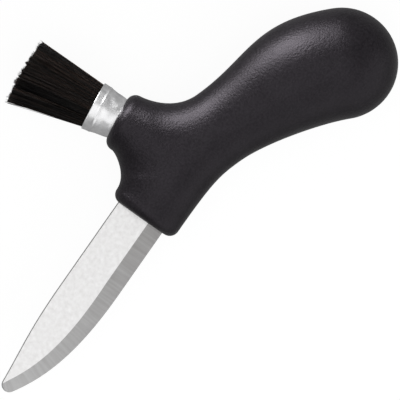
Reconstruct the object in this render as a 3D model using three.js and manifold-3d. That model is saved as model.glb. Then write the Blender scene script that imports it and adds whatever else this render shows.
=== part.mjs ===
// Mushroom knife: a curved blade and a cleaning brush on one forked, pear-shaped handle.
// Millimetres, +Z up. The knife lies on its side: X runs along the blade from tip to handle,
// Y points to the brush, and the moulding's parting line lies in the plane of the blade.

import * as THREE from 'three';
import { mergeVertices } from 'three/addons/utils/BufferGeometryUtils.js';
import Module from 'manifold-3d';

// Fits
const clearance = 0.3; // between two pieces that touch
const weldDistance = 1e-5; // mesh corners closer than this are one corner

// Blade, measured from the handle's blade face
const bladeReach = 71.6; // face to tip
const bladeWidth = 17.5; // back to edge at the handle
const bladeThickness = 2;
const bladeRise = 0.6; // blade's middle line above the nose's axis
const backStraight = 33.3; // straight part of the back
const backLead = 18; // how long the curved back keeps its first direction
const backTipLead = 12; // how long it keeps its last one
const tipRadius = 2.5;
const tipRise = 3.7; // centre of the rounded tip above the blade's middle line
const tipBackAngle = 94.6; // degrees round the tip where the back meets it
const tipEdgeAngle = 238; // degrees round the tip where the edge meets it
const edgeStraight = 24.3; // straight part of the edge
const bellyLead = 22; // how long the curved edge keeps its first direction
const tipLead = 13; // how long it keeps its last one
const bevelWidth = 5.55; // ground face at the heel
const bevelTipWidth = 3.9; // ground face at the tip
const edgeLand = 0.2; // thickness left at the cutting edge

// Tang, the part of the blade inside the handle
const rootReach = 1; // root of the blade in front of the face
const bladeInset = 3; // full-width blade inside the face
const tangWidth = 11;
const tangReach = 40; // face to the tang's end
const tangCorner = 3;
const tangHoleRadius = 2.5;
const tangHoleSpacing = 16;
const tangHoleEnd = 9; // last hole's centre to the tang's end

// Ferrule, measured from the handle's brush face
const ferruleNeckRadius = 7.05; // outside, at the handle and inside its socket
const ferruleMouthRadius = 8.4;
const ferruleReach = 8.85; // face to mouth
const ferruleDepth = 9; // shank inside the socket
const ferruleWall = 0.45;
const beadHeight = 0.22;
const beadWidth = 1.2;
const beadFromMouth = 2.75;

// Bristles
const bristleReach = 25.9; // ferrule mouth to the cut tips
const tuftTipRadius = 11.6; // whole tuft at the tips
const tuftLean = 1.15; // sideways bow of the tips towards the blade
const tipSlant = 0.045; // rise of the cut per millimetre towards the blade
const raggedness = 0.9; // longest difference between neighbouring tips
const settingDrop = 1.2; // face of the resin setting below the ferrule's mouth
const sliceThickness = 2; // slice of the setting that each bundle stands in
const strandPitch = 0.68;
const strandRadius = 0.28;
const strandTipRadius = 0.36;

// Handle: the fork is where the axes of the blade nose and the brush nose cross
const forkDistance = 25.3; // blade face to the fork
const noseWall = 3.5; // plastic beside the blade
const noseHalfHeight = 9;
const rimRadius = 3.3; // rounding round both nose faces
const brushLean = 7.1; // degrees between the brush axis and a square to the blade
const brushNoseLength = 25.5; // fork to the brush face
const brushNoseWall = 2.95; // plastic round the ferrule
const waistDistance = 14; // fork to the middle of the waist
const waistAngle = -15.1; // direction of the waist from the fork
const waistHalfWidth = 13;
const gripAngle = -20; // direction of the grip at the waist
const knobDistance = 45; // waist to the middle of the knob
const knobAngle = -27.4; // direction of the knob from the waist
const knobHalfLength = 18.5;
const knobHalfWidth = 18.3;
const knobTilt = -45.9; // direction in which the knob points
const flatness = 0.8; // thickness of the grip and the knob over their width

// How long each side of the handle keeps its direction where it leaves a nose, the waist or the knob
const notchBladeLead = 5.5;
const notchBrushLead = 1.2;
const saddleBrushLead = 1.5;
const saddleWaistLead = 9.4;
const undersideBladeLead = 19.7;
const undersideWaistLead = 8.7;
const topWaistLead = 20.9;
const topKnobLead = 26.9;
const bottomWaistLead = 9.4;
const bottomKnobLead = 9.5;

// Length of each nose's crown, and the share of each bend that its ribs spring from
const bladeCrownLength = 12.7;
const brushCrownLength = 10.2;
const notchBladeShare = 0.32;
const notchBrushShare = 0.36;
const saddleShare = 0.24;
const undersideShare = 0.28;

// Facets
const rimSteps = 4;
const stemSteps = 5;
const notchSteps = 6;
const saddleSteps = 8;
const undersideSteps = 9;
const flankSteps = 10;
const capSteps = 9;
const archSteps = 9;
const curveSteps = 16;
const roundSides = 40;

const wasm = await Module();
wasm.setup();

const radians = THREE.MathUtils.degToRad;
const lerp = THREE.MathUtils.lerp;

function heading(degrees) {
  return new THREE.Vector2(Math.cos(radians(degrees)), Math.sin(radians(degrees)));
}

function leftOf(direction) {
  return new THREE.Vector2(-direction.y, direction.x);
}

function moved(point, direction, distance) {
  return point.clone().addScaledVector(direction, distance);
}

// A curve that leaves one point and reaches another in given directions
function bend(start, startHeading, startLead, end, endHeading, endLead) {
  const first = moved(start, startHeading, startLead);
  const second = moved(end, endHeading, -endLead);
  return new THREE.CubicBezierCurve(start, first, second, end);
}

// Where two straight lines cross
function crossing(point, direction, other, otherDirection) {
  const gap = other.clone().sub(point);
  const distance = gap.cross(otherDirection) / direction.cross(otherDirection);
  return moved(point, direction, distance);
}

function bareGeometry(positions, triangles) {
  const geometry = new THREE.BufferGeometry();
  geometry.setAttribute('position', new THREE.Float32BufferAttribute(positions, 3));
  geometry.setIndex(triangles);
  return geometry;
}

// A geometry with shared corners and no empty triangles
function welded(geometry) {
  const plain = geometry.clone();
  plain.deleteAttribute('normal');
  plain.deleteAttribute('uv');
  const merged = mergeVertices(plain, weldDistance);
  const index = merged.index.array;
  const kept = [];
  for (let i = 0; i < index.length; i += 3) {
    const [a, b, c] = [index[i], index[i + 1], index[i + 2]];
    if (a !== b && b !== c && c !== a) {
      kept.push(a, b, c);
    }
  }
  merged.setIndex(kept);
  return merged;
}

function solidOf(geometry) {
  const closed = welded(geometry);
  return new wasm.Manifold(new wasm.Mesh({
    numProp: 3,
    vertProperties: Float32Array.from(closed.attributes.position.array),
    triVerts: Uint32Array.from(closed.index.array),
  }));
}

function geometryOf(solid) {
  const mesh = solid.getMesh();
  return bareGeometry(mesh.vertProperties, Array.from(mesh.triVerts));
}

function piece(name, geometry, finish) {
  const flat = geometry.toNonIndexed();
  flat.computeVertexNormals();
  const mesh = new THREE.Mesh(flat, new THREE.MeshStandardMaterial(finish));
  mesh.name = name;
  return mesh;
}

// Blade: a stamped blank, ground on both sides along the edge

const bladeBack = bladeRise + bladeWidth / 2;
const bladeEdge = bladeRise - bladeWidth / 2;
const tipCentre = new THREE.Vector2(tipRadius - bladeReach, bladeRise + tipRise);
const towardsTip = heading(180);

// The cutting edge's curved part, from its straight part to the rounded tip
function bellyCurve() {
  const start = new THREE.Vector2(-edgeStraight, bladeEdge);
  const end = moved(tipCentre, heading(tipEdgeAngle), tipRadius);
  return bend(start, towardsTip, bellyLead, end, heading(tipEdgeAngle - 90), tipLead);
}

function backCurve() {
  const start = new THREE.Vector2(-backStraight, bladeBack);
  const end = moved(tipCentre, heading(tipBackAngle), tipRadius);
  return bend(start, towardsTip, backLead, end, heading(tipBackAngle + 90), backTipLead);
}

// Outline of the blade's root and tang, or of the slot round them when it is given a margin
function tangShape(start, margin) {
  const top = bladeRise + tangWidth / 2 + margin;
  const bottom = bladeRise - tangWidth / 2 - margin;
  const shoulder = bladeInset + margin;
  const corner = tangCorner + margin;
  const cornerX = tangReach + margin - corner;
  const shape = new THREE.Shape();
  shape.moveTo(shoulder, bladeBack + margin);
  shape.lineTo(start, bladeBack + margin);
  shape.lineTo(start, bladeEdge - margin);
  shape.lineTo(shoulder, bladeEdge - margin);
  shape.lineTo(shoulder, bottom);
  shape.absarc(cornerX, bottom + corner, corner, -Math.PI / 2, 0, false);
  shape.absarc(cornerX, top - corner, corner, 0, Math.PI / 2, false);
  shape.lineTo(shoulder, top);
  shape.closePath();
  return shape;
}

function tangHoleCentres() {
  const last = tangReach - tangHoleEnd;
  return [last - tangHoleSpacing, last].map((x) => new THREE.Vector2(x, bladeRise));
}

// A flat sheet with its middle in the plane of the blade
function sheet(shape, thickness) {
  const geometry = new THREE.ExtrudeGeometry(shape, {
    depth: thickness,
    bevelEnabled: false,
    curveSegments: curveSteps,
  });
  geometry.translate(0, 0, -thickness / 2);
  return solidOf(geometry);
}

function exposedShape() {
  const back = backCurve();
  const edge = bellyCurve();
  const shape = new THREE.Shape();
  shape.moveTo(-rootReach, bladeBack);
  shape.lineTo(back.v0.x, back.v0.y);
  shape.bezierCurveTo(back.v1.x, back.v1.y, back.v2.x, back.v2.y, back.v3.x, back.v3.y);
  shape.absarc(tipCentre.x, tipCentre.y, tipRadius, radians(tipBackAngle), radians(tipEdgeAngle), false);
  shape.bezierCurveTo(edge.v2.x, edge.v2.y, edge.v1.x, edge.v1.y, edge.v0.x, edge.v0.y);
  shape.lineTo(-rootReach, bladeEdge);
  shape.closePath();
  return shape;
}

function bladeBlank() {
  const root = tangShape(-rootReach, 0);
  for (const centre of tangHoleCentres()) {
    const hole = new THREE.Path();
    hole.absarc(centre.x, centre.y, tangHoleRadius, 0, Math.PI * 2, true);
    root.holes.push(hole);
  }
  return sheet(exposedShape(), bladeThickness).add(sheet(root, bladeThickness));
}

// Stations along the edge from inside the handle to past the tip: a point, the way into the steel
// and the width of the ground face there
function bevelStations() {
  const belly = bellyCurve();
  const heel = new THREE.Vector2(bladeInset / 2, bladeEdge);
  const stations = [{ point: heel, inward: new THREE.Vector2(0, 1), width: bevelWidth }];
  for (let i = 0; i <= curveSteps; i++) {
    const share = i / curveSteps;
    const inward = leftOf(belly.getTangent(share)).negate();
    const width = lerp(bevelWidth, bevelTipWidth, share);
    stations.push({ point: belly.getPoint(share), inward, width });
  }
  const last = stations[stations.length - 1];
  const beyond = moved(last.point, belly.getTangent(1), 3 * tipRadius);
  stations.push({ point: beyond, inward: last.inward, width: bevelTipWidth });
  return stations;
}

// The steel that grinding takes off one side: a wedge that follows the edge
function grindingWedge(side) {
  const half = bladeThickness / 2;
  const positions = [];
  const triangles = [];
  const stations = bevelStations();
  for (const { point, inward, width } of stations) {
    const rise = (half - edgeLand / 2) / width;
    const outer = moved(point, inward, -half);
    const inner = moved(point, inward, width + half / rise);
    positions.push(outer.x, outer.y, side * (edgeLand / 2 - half * rise));
    positions.push(inner.x, inner.y, side * 2 * half);
    positions.push(outer.x, outer.y, side * 2 * half);
  }
  const corners = 3;
  for (let i = 0; i + 1 < stations.length; i++) {
    for (let j = 0; j < corners; j++) {
      const a = i * corners + j;
      const b = i * corners + ((j + 1) % corners);
      triangles.push(a, b, b + corners, a, b + corners, a + corners);
    }
  }
  const end = (stations.length - 1) * corners;
  triangles.push(0, 2, 1, end, end + 1, end + 2);
  if (side > 0) {
    triangles.reverse();
  }
  return solidOf(bareGeometry(positions, triangles));
}

function bladeGeometry() {
  const ground = bladeBlank().subtract(grindingWedge(1)).subtract(grindingWedge(-1));
  return geometryOf(ground);
}

// Handle: a moulded hull whose ribs spring from the parting line and arch up to a crown

const noseHalfWidth = bladeWidth / 2 + noseWall;
const brushNoseRadius = ferruleNeckRadius + brushNoseWall;
const crownHeight = waistHalfWidth * flatness;
const fork = new THREE.Vector2(forkDistance, 0);
const brushHeading = heading(90 + brushLean);
const gripHeading = heading(gripAngle);
const knobHeading = heading(knobTilt);
const waist = moved(fork, heading(waistAngle), waistDistance);
const knob = moved(waist, heading(knobAngle), knobDistance);

const bladeNose = {
  face: new THREE.Vector2(0, 0),
  inward: heading(0),
  halfWidth: noseHalfWidth,
  halfHeight: noseHalfHeight,
  crownLength: bladeCrownLength,
};
const brushNose = {
  face: moved(fork, brushHeading, brushNoseLength),
  inward: brushHeading.clone().negate(),
  halfWidth: brushNoseRadius,
  halfHeight: brushNoseRadius,
  crownLength: brushCrownLength,
};

// Start of a nose's straight side, behind its rounded rim
function noseShoulder(nose, side) {
  const across = leftOf(nose.inward).multiplyScalar(side);
  return moved(moved(nose.face, nose.inward, rimRadius), across, nose.halfWidth);
}

function waistSide(side) {
  return moved(waist, leftOf(gripHeading), side * waistHalfWidth);
}

function knobSide(side) {
  return moved(knob, leftOf(knobHeading), side * knobHalfWidth);
}

// The five bends of the outline
const notch = bend(
  noseShoulder(bladeNose, 1), bladeNose.inward, notchBladeLead,
  noseShoulder(brushNose, -1), brushHeading, notchBrushLead,
);
const saddle = bend(
  noseShoulder(brushNose, 1), brushNose.inward, saddleBrushLead,
  waistSide(1), gripHeading, saddleWaistLead,
);
const underside = bend(
  noseShoulder(bladeNose, -1), bladeNose.inward, undersideBladeLead,
  waistSide(-1), gripHeading, undersideWaistLead,
);
const topFlank = bend(waistSide(1), gripHeading, topWaistLead, knobSide(1), knobHeading, topKnobLead);
const bottomFlank = bend(
  waistSide(-1), gripHeading, bottomWaistLead,
  knobSide(-1), knobHeading, bottomKnobLead,
);

function atHeight(point, height) {
  return new THREE.Vector3(point.x, point.y, height);
}

// Ribs of one side of a nose: its flat face, the rounded rim and the stem up to the fork
function noseRibs(nose, side, footAt) {
  const across = leftOf(nose.inward).multiplyScalar(side);
  const ribs = [{ foot: nose.face, crown: atHeight(nose.face, 0) }];
  for (let i = 0; i <= rimSteps; i++) {
    const turn = (Math.PI / 2) * (i / rimSteps);
    const centre = moved(nose.face, nose.inward, rimRadius * (1 - Math.cos(turn)));
    const inset = rimRadius * (1 - Math.sin(turn));
    ribs.push({
      foot: moved(centre, across, nose.halfWidth - inset),
      crown: atHeight(centre, nose.halfHeight - inset),
    });
  }
  for (let i = 1; i <= stemSteps; i++) {
    const share = i / stemSteps;
    const centre = moved(nose.face, nose.inward, rimRadius + nose.crownLength * share);
    const height = lerp(
      nose.halfHeight, crownHeight, THREE.MathUtils.smoothstep(share, 0, 1),
    );
    ribs.push({ foot: footAt(share), crown: atHeight(centre, height) });
  }
  return ribs;
}

function stemEnd(nose) {
  return moved(nose.face, nose.inward, rimRadius + nose.crownLength);
}

// Ribs between two limbs: their crown turns from one limb's axis to the other's, and is level
function forkRibs(start, startHeading, end, endHeading, steps, footAt) {
  const corner = crossing(start, startHeading, end, endHeading);
  const rail = new THREE.QuadraticBezierCurve(start, corner, end);
  const ribs = [];
  for (let i = 1; i < steps; i++) {
    const share = i / steps;
    ribs.push({ foot: footAt(share), crown: atHeight(rail.getPoint(share), crownHeight) });
  }
  return ribs;
}

// Ribs of one side of the grip and the knob: the crown runs midway between the two sides
function gripRibs(side) {
  const ribs = [];
  for (let i = 0; i <= flankSteps; i++) {
    const top = topFlank.getPointAt(i / flankSteps);
    const bottom = bottomFlank.getPointAt(i / flankSteps);
    const middle = top.clone().lerp(bottom, 0.5);
    const height = (flatness * top.distanceTo(bottom)) / 2;
    ribs.push({ foot: side > 0 ? top : bottom, crown: atHeight(middle, height) });
  }
  for (let i = 1; i <= capSteps; i++) {
    const turn = (Math.PI / 2) * (i / capSteps);
    const middle = moved(knob, knobHeading, knobHalfLength * Math.sin(turn));
    const half = i < capSteps ? knobHalfWidth * Math.cos(turn) : 0;
    ribs.push({
      foot: moved(middle, leftOf(knobHeading), side * half),
      crown: atHeight(middle, flatness * half),
    });
  }
  return ribs;
}

const bladeStem = stemEnd(bladeNose);
const brushStem = stemEnd(brushNose);

const notchFork = forkRibs(bladeStem, bladeNose.inward, brushStem, brushNose.inward, notchSteps,
  (share) => notch.getPointAt(lerp(notchBladeShare, 1 - notchBrushShare, share)));
const saddleFork = forkRibs(brushStem, brushNose.inward, waist, gripHeading, saddleSteps,
  (share) => saddle.getPointAt(lerp(saddleShare, 1, share)));
const undersideFork = forkRibs(bladeStem, bladeNose.inward, waist, gripHeading, undersideSteps,
  (share) => underside.getPointAt(lerp(undersideShare, 1, share)));

// All ribs, clockwise round the outline in three runs
const ribRuns = [
  [
    ...noseRibs(bladeNose, 1, (share) => notch.getPointAt(notchBladeShare * share)),
    ...notchFork,
    ...noseRibs(brushNose, -1, (share) => notch.getPointAt(1 - notchBrushShare * share)).reverse(),
  ],
  [
    ...noseRibs(brushNose, 1, (share) => saddle.getPointAt(saddleShare * share)),
    ...saddleFork,
    ...gripRibs(1),
  ],
  [
    ...gripRibs(-1).reverse(),
    ...undersideFork.slice().reverse(),
    ...noseRibs(bladeNose, -1, (share) => underside.getPointAt(undersideShare * share)).reverse(),
  ],
];

// Corners of the level crown between the three limbs
function crownPlateau() {
  const crowns = (ribs) => ribs.map((rib) => rib.crown);
  return [
    atHeight(bladeStem, crownHeight),
    ...crowns(notchFork),
    atHeight(brushStem, crownHeight),
    ...crowns(saddleFork),
    atHeight(waist, crownHeight),
    ...crowns(undersideFork).reverse(),
  ];
}

function handleHull() {
  const positions = [];
  const triangles = [];
  const row = archSteps + 1;
  for (const side of [1, -1]) {
    const addTriangle = (a, b, c) => triangles.push(...(side > 0 ? [a, b, c] : [a, c, b]));
    for (const ribs of ribRuns) {
      const first = positions.length / 3;
      for (const { foot, crown } of ribs) {
        for (let j = 0; j <= archSteps; j++) {
          const turn = (Math.PI / 2) * (j / archSteps);
          const reach = j < archSteps ? 1 - Math.cos(turn) : 1;
          const x = lerp(foot.x, crown.x, reach);
          const y = lerp(foot.y, crown.y, reach);
          positions.push(x, y, side * crown.z * Math.sin(turn));
        }
      }
      for (let i = 0; i + 1 < ribs.length; i++) {
        for (let j = 0; j < archSteps; j++) {
          const a = first + i * row + j;
          addTriangle(a, a + 1, a + row + 1);
          addTriangle(a, a + row + 1, a + row);
        }
      }
    }
    const plateau = crownPlateau();
    const base = positions.length / 3;
    plateau.forEach((point) => positions.push(point.x, point.y, side * point.z));
    const flat = plateau.map((point) => new THREE.Vector2(point.x, point.y));
    for (const [a, b, c] of THREE.ShapeUtils.triangulateShape(flat, [])) {
      addTriangle(base + a, base + b, base + c);
    }
  }
  return solidOf(bareGeometry(positions, triangles));
}

// The slot round the tang, with the moulded pegs that pass through the tang's holes left standing
function tangSlot() {
  const slotHeight = bladeThickness + 2 * clearance;
  let slot = sheet(tangShape(-rimRadius, clearance), slotHeight);
  for (const centre of tangHoleCentres()) {
    const radius = tangHoleRadius - clearance;
    const peg = new THREE.CylinderGeometry(radius, radius, 2 * slotHeight, curveSteps);
    peg.rotateX(Math.PI / 2);
    peg.translate(centre.x, centre.y, 0);
    slot = slot.subtract(solidOf(peg));
  }
  return slot;
}

// The brush stands on its nose's face: its own Y axis is the brush's axis
const brush = new THREE.Group();
brush.position.set(brushNose.face.x, brushNose.face.y, 0);
brush.rotation.z = radians(brushLean);
brush.updateMatrix();

function ferruleSocket() {
  const depth = ferruleDepth + clearance;
  const radius = ferruleNeckRadius + clearance;
  const bore = new THREE.CylinderGeometry(radius, radius, depth + rimRadius, roundSides);
  bore.translate(0, (rimRadius - depth) / 2, 0);
  bore.applyMatrix4(brush.matrix);
  return solidOf(bore);
}

function handleGeometry() {
  return geometryOf(handleHull().subtract(tangSlot()).subtract(ferruleSocket()));
}

// Ferrule: a drawn metal cup, straight in its socket and flared outside, with one rolled bead

const flare = (ferruleMouthRadius - ferruleNeckRadius) / ferruleReach;

// Outside radius at a height above the brush face
function ferruleRadius(height) {
  return ferruleNeckRadius + flare * Math.max(height, 0);
}

function boreRadius(height) {
  return ferruleRadius(height) - ferruleWall;
}

function ferruleGeometry() {
  const beadMiddle = ferruleReach - beadFromMouth;
  const profile = [
    new THREE.Vector2(boreRadius(-ferruleDepth), -ferruleDepth),
    new THREE.Vector2(ferruleRadius(-ferruleDepth), -ferruleDepth),
    new THREE.Vector2(ferruleRadius(0), 0),
  ];
  const beadSteps = 4;
  for (let i = 0; i <= beadSteps; i++) {
    const share = i / beadSteps;
    const height = beadMiddle + beadWidth * (share - 0.5);
    profile.push(new THREE.Vector2(ferruleRadius(height) + beadHeight * Math.sin(Math.PI * share), height));
  }
  profile.push(
    new THREE.Vector2(ferruleRadius(ferruleReach), ferruleReach),
    new THREE.Vector2(boreRadius(ferruleReach), ferruleReach),
    new THREE.Vector2(boreRadius(0), 0),
    new THREE.Vector2(boreRadius(-ferruleDepth), -ferruleDepth),
  );
  return welded(new THREE.LatheGeometry(profile, roundSides));
}

// Resin setting: the cast plug behind the bristles that fills the ferrule

const sliceTop = ferruleReach - settingDrop;
const sliceBottom = sliceTop - sliceThickness;

function settingGeometry() {
  const top = sliceBottom - clearance;
  const profile = [
    new THREE.Vector2(0, -ferruleDepth),
    new THREE.Vector2(boreRadius(-ferruleDepth) - clearance, -ferruleDepth),
    new THREE.Vector2(boreRadius(0) - clearance, 0),
    new THREE.Vector2(boreRadius(top) - clearance, top),
    new THREE.Vector2(0, top),
  ];
  return welded(new THREE.LatheGeometry(profile, roundSides));
}

// Bristles: four bundles, each a quarter of the tuft on its own slice of the setting

const strandSides = 3;
const tuftLength = bristleReach + settingDrop;
const tuftRadius = boreRadius(sliceTop) - clearance;
const outermostStrand = tuftRadius - strandRadius;
const tuftSpread = (tuftTipRadius - strandTipRadius) / outermostStrand;

// Strands on rings, each ring evenly filled within the quarter
function quarterStrands(quarter) {
  const strands = [];
  const rings = Math.round(outermostStrand / strandPitch + 0.5);
  for (let ring = 0; ring < rings; ring++) {
    const radius = (outermostStrand * (ring + 0.5)) / (rings - 0.5);
    const count = Math.floor((radius * Math.PI) / 2 / strandPitch);
    for (let i = 0; i < count; i++) {
      const angle = (Math.PI / 2) * (quarter + (i + 0.5) / count);
      strands.push({ x: radius * Math.cos(angle), z: radius * Math.sin(angle), turn: angle });
    }
  }
  return strands;
}

// Outline of a quarter slice, half a clearance from its neighbours on both straight sides
function quarterOutline(quarter, radius) {
  const half = clearance / 2;
  const start = Math.asin(half / radius);
  const arcSteps = roundSides / 4;
  const points = [new THREE.Vector2(half, half)];
  for (let i = 0; i <= arcSteps; i++) {
    const angle = lerp(start, Math.PI / 2 - start, i / arcSteps);
    points.push(new THREE.Vector2(radius * Math.cos(angle), radius * Math.sin(angle)));
  }
  const centre = new THREE.Vector2();
  return points.map((point) => point.rotateAround(centre, (Math.PI / 2) * quarter));
}

// A strand's corners at a share of its length: it spreads with the tuft and bows towards the blade
function strandCorners(strand, share, tipDrop) {
  const spread = 1 + (tuftSpread - 1) * share;
  const bow = tuftLean * share * share;
  const x = strand.x * spread - bow;
  const z = strand.z * spread;
  const length = tuftLength - tipSlant * x - tipDrop;
  const radius = lerp(strandRadius, strandTipRadius, share);
  const corners = [];
  for (let i = 0; i < strandSides; i++) {
    const angle = strand.turn + (2 * Math.PI * i) / strandSides;
    const height = sliceTop + length * share;
    corners.push([x + radius * Math.cos(angle), height, z + radius * Math.sin(angle)]);
  }
  return corners;
}

// A closed body through rings of corners, with the lowest ring first
function addStack(positions, triangles, rings) {
  const count = rings[0].length;
  const first = positions.length / 3;
  rings.flat().forEach((corner) => positions.push(...corner));
  for (let level = 0; level + 1 < rings.length; level++) {
    for (let i = 0; i < count; i++) {
      const a = first + level * count + i;
      const b = first + level * count + ((i + 1) % count);
      triangles.push(a, a + count, b + count, a, b + count, b);
    }
  }
  const top = first + (rings.length - 1) * count;
  const outline = rings[0].map(([x, , z]) => new THREE.Vector2(x, z));
  for (const [a, b, c] of THREE.ShapeUtils.triangulateShape(outline, [])) {
    triangles.push(first + a, first + b, first + c);
    triangles.push(top + a, top + c, top + b);
  }
}

function stackedSolid(stacks) {
  const positions = [];
  const triangles = [];
  stacks.forEach((rings) => addStack(positions, triangles, rings));
  return solidOf(bareGeometry(positions, triangles));
}

function bundleGeometry(quarter) {
  const sliceRing = (height) => quarterOutline(quarter, boreRadius(height) - clearance)
    .map((point) => [point.x, height, point.y]);
  const slice = stackedSolid([[sliceRing(sliceBottom), sliceRing(sliceTop)]]);
  const rootShare = -sliceThickness / 2 / tuftLength;
  const golden = (Math.sqrt(5) - 1) / 2;
  const strands = quarterStrands(quarter).map((strand, i) => {
    const tipDrop = raggedness * ((golden * (i + 1)) % 1);
    return [rootShare, 0.5, 1].map((share) => strandCorners(strand, share, tipDrop));
  });
  return geometryOf(slice.add(stackedSolid(strands)));
}

// Assembly

const plastic = { color: 0x2b292c, roughness: 0.62, metalness: 0 };
const steel = { color: 0xd9d9d8, roughness: 0.35, metalness: 1 };
const aluminium = { color: 0xdcdddf, roughness: 0.25, metalness: 1 };
const resin = { color: 0x6b5436, roughness: 0.5, metalness: 0 };
const hair = { color: 0x171312, roughness: 0.7, metalness: 0 };

brush.add(piece('brush_ferrule', ferruleGeometry(), aluminium));
brush.add(piece('resin_setting', settingGeometry(), resin));
for (let quarter = 0; quarter < 4; quarter++) {
  brush.add(piece(`bristle_bundle_${quarter + 1}`, bundleGeometry(quarter), hair));
}

const knife = new THREE.Group();
knife.add(piece('handle', handleGeometry(), plastic));
knife.add(piece('blade', bladeGeometry(), steel));
knife.add(brush);

// The origin is under the middle of the knife, on the surface that it lies on
const box = new THREE.Box3().setFromObject(knife, true);
const middle = box.getCenter(new THREE.Vector3());
knife.position.set(-middle.x, -middle.y, -box.min.z);

export default knife;
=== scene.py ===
"""Mushroom knife: a curved blade and a cleaning brush on one forked, pear-shaped handle.

Metres. The knife lies on its side as its solids do: X runs along the blade from tip to handle,
Y points to the brush, and Z is up through the thickness.
"""

import math

import bmesh
import bpy
import numpy as np
from mathutils import Matrix, Vector, noise


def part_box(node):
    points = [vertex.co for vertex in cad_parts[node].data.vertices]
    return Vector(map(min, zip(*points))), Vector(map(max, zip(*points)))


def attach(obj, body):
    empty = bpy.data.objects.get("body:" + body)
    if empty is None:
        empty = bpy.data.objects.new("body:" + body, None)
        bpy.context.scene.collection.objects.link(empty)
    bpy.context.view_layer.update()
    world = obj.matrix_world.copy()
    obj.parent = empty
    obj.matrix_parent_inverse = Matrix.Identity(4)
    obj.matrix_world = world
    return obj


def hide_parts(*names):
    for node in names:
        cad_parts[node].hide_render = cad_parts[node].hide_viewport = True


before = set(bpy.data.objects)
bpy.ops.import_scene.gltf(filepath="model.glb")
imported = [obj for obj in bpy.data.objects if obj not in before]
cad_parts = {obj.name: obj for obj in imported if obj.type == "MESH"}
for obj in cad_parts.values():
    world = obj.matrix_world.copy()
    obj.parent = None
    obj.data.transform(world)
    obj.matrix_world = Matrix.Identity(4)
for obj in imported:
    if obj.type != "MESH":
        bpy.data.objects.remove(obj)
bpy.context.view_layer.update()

# Blade
# A blank stamped from 2 mm stainless sheet and tumbled to a satin finish, then ground on both sides
# along the curved edge. Its narrower tang runs back into the handle, which is moulded round it.

mm = 0.001
blade_reach = 71.6 * mm  # handle face to tip
blade_width = 17.5 * mm
blade_thickness = 2 * mm
blade_rise = 0.6 * mm  # middle line above the axis of the handle's nose
back_straight = 33.3 * mm
back_lead = 18 * mm
back_tip_lead = 12 * mm
rim_chamfer = 0.35 * mm
rim_drop = 0.6 * mm  # how far the chamfer comes down the side
tip_radius = 2.5 * mm
tip_rise = 3.7 * mm
tip_back_angle = 94.6
tip_edge_angle = 238
edge_straight = 24.3 * mm
belly_lead = 22 * mm
tip_lead = 13 * mm
bevel_width = 5.55 * mm
bevel_tip_width = 3.9 * mm
edge_land = 0.12 * mm
blade_inset = 3 * mm  # full-width blade inside the handle
tang_width = 11 * mm
tang_reach = 40 * mm
tang_corner = 3 * mm
edge_chamfer_share = 0.6  # of the steel's half height at the edge, which the chamfer stays within
curve_points = 121
tip_points = 60
tang_corner_points = 9
weld_distance = 0.001 * mm
crease_angle = 50  # degrees above which an edge shows sharp

blade_low, blade_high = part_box("blade")
blade_middle = (blade_low + blade_high) / 2
# Middle of the handle's blade face, on the axis of its nose: outlines are drawn from here
nose_face = np.array((blade_low.x + blade_reach, blade_middle.y - blade_rise, blade_middle.z))


def heading(degrees):
    return np.array((math.cos(math.radians(degrees)), math.sin(math.radians(degrees))))


def bend(start, start_heading, start_lead, end, end_heading, end_lead):
    """Points of a curve that leaves one point and reaches another in given directions."""
    share = np.linspace(0, 1, curve_points)[:, None]
    rest = 1 - share
    first = start + start_lead * start_heading
    second = end - end_lead * end_heading
    return rest**3 * start + 3 * rest**2 * share * first + 3 * rest * share**2 * second + share**3 * end


def shares_along(points):
    """Each point's share of a line's length."""
    steps = np.linalg.norm(np.diff(points, axis=0), axis=1)
    return np.concatenate(([0], np.cumsum(steps))) / steps.sum()


def spaced(points, shares):
    """Points at given shares of a line's length."""
    return np.column_stack([np.interp(shares, shares_along(points), axis) for axis in points.T])


def unit(vectors):
    return vectors / np.maximum(np.linalg.norm(vectors, axis=-1, keepdims=True), 1e-9)


def normals_of(points, side):
    """Directions square to a line, to its left (1) or its right (-1)."""
    tangents = unit(np.gradient(points, axis=0))
    return side * np.column_stack((-tangents[:, 1], tangents[:, 0]))


def lofted(rings, finishes=None, sharp=(), joined=False, capped=(True, True)):
    """A skin through rings of points. Its ends are capped, or the last ring is joined to the first."""
    skin = bmesh.new()
    rows = [[skin.verts.new(point) for point in ring] for ring in rings]
    count = len(rows[0])
    following = rows[1:] + rows[:1] if joined else rows[1:]
    for row, other in zip(rows, following):
        for i in range(count):
            j = (i + 1) % count
            face = skin.faces.new((row[i], row[j], other[j], other[i]))
            face.smooth = True
            face.material_index = finishes[i] if finishes else 0
        for i in sharp:
            skin.edges.get((row[i], other[i])).smooth = False
    for row, cap in zip((rows[0], rows[-1]), capped):
        if cap and not joined:
            skin.faces.new(row)
    return skin


def made(name, skin, finishes):
    """The object of a skin: close corners are welded, and faces turned outwards."""
    bmesh.ops.remove_doubles(skin, verts=skin.verts, dist=weld_distance)
    bmesh.ops.dissolve_degenerate(skin, edges=skin.edges, dist=weld_distance / 2)
    bmesh.ops.recalc_face_normals(skin, faces=skin.faces)
    for edge in skin.edges:
        if edge.is_manifold and edge.calc_face_angle() > math.radians(crease_angle):
            edge.smooth = False
    mesh = bpy.data.meshes.new(name)
    skin.to_mesh(mesh)
    skin.free()
    for finish in finishes:
        mesh.materials.append(finish)
    shape = bpy.data.objects.new(name, mesh)
    bpy.context.scene.collection.objects.link(shape)
    return shape


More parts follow.
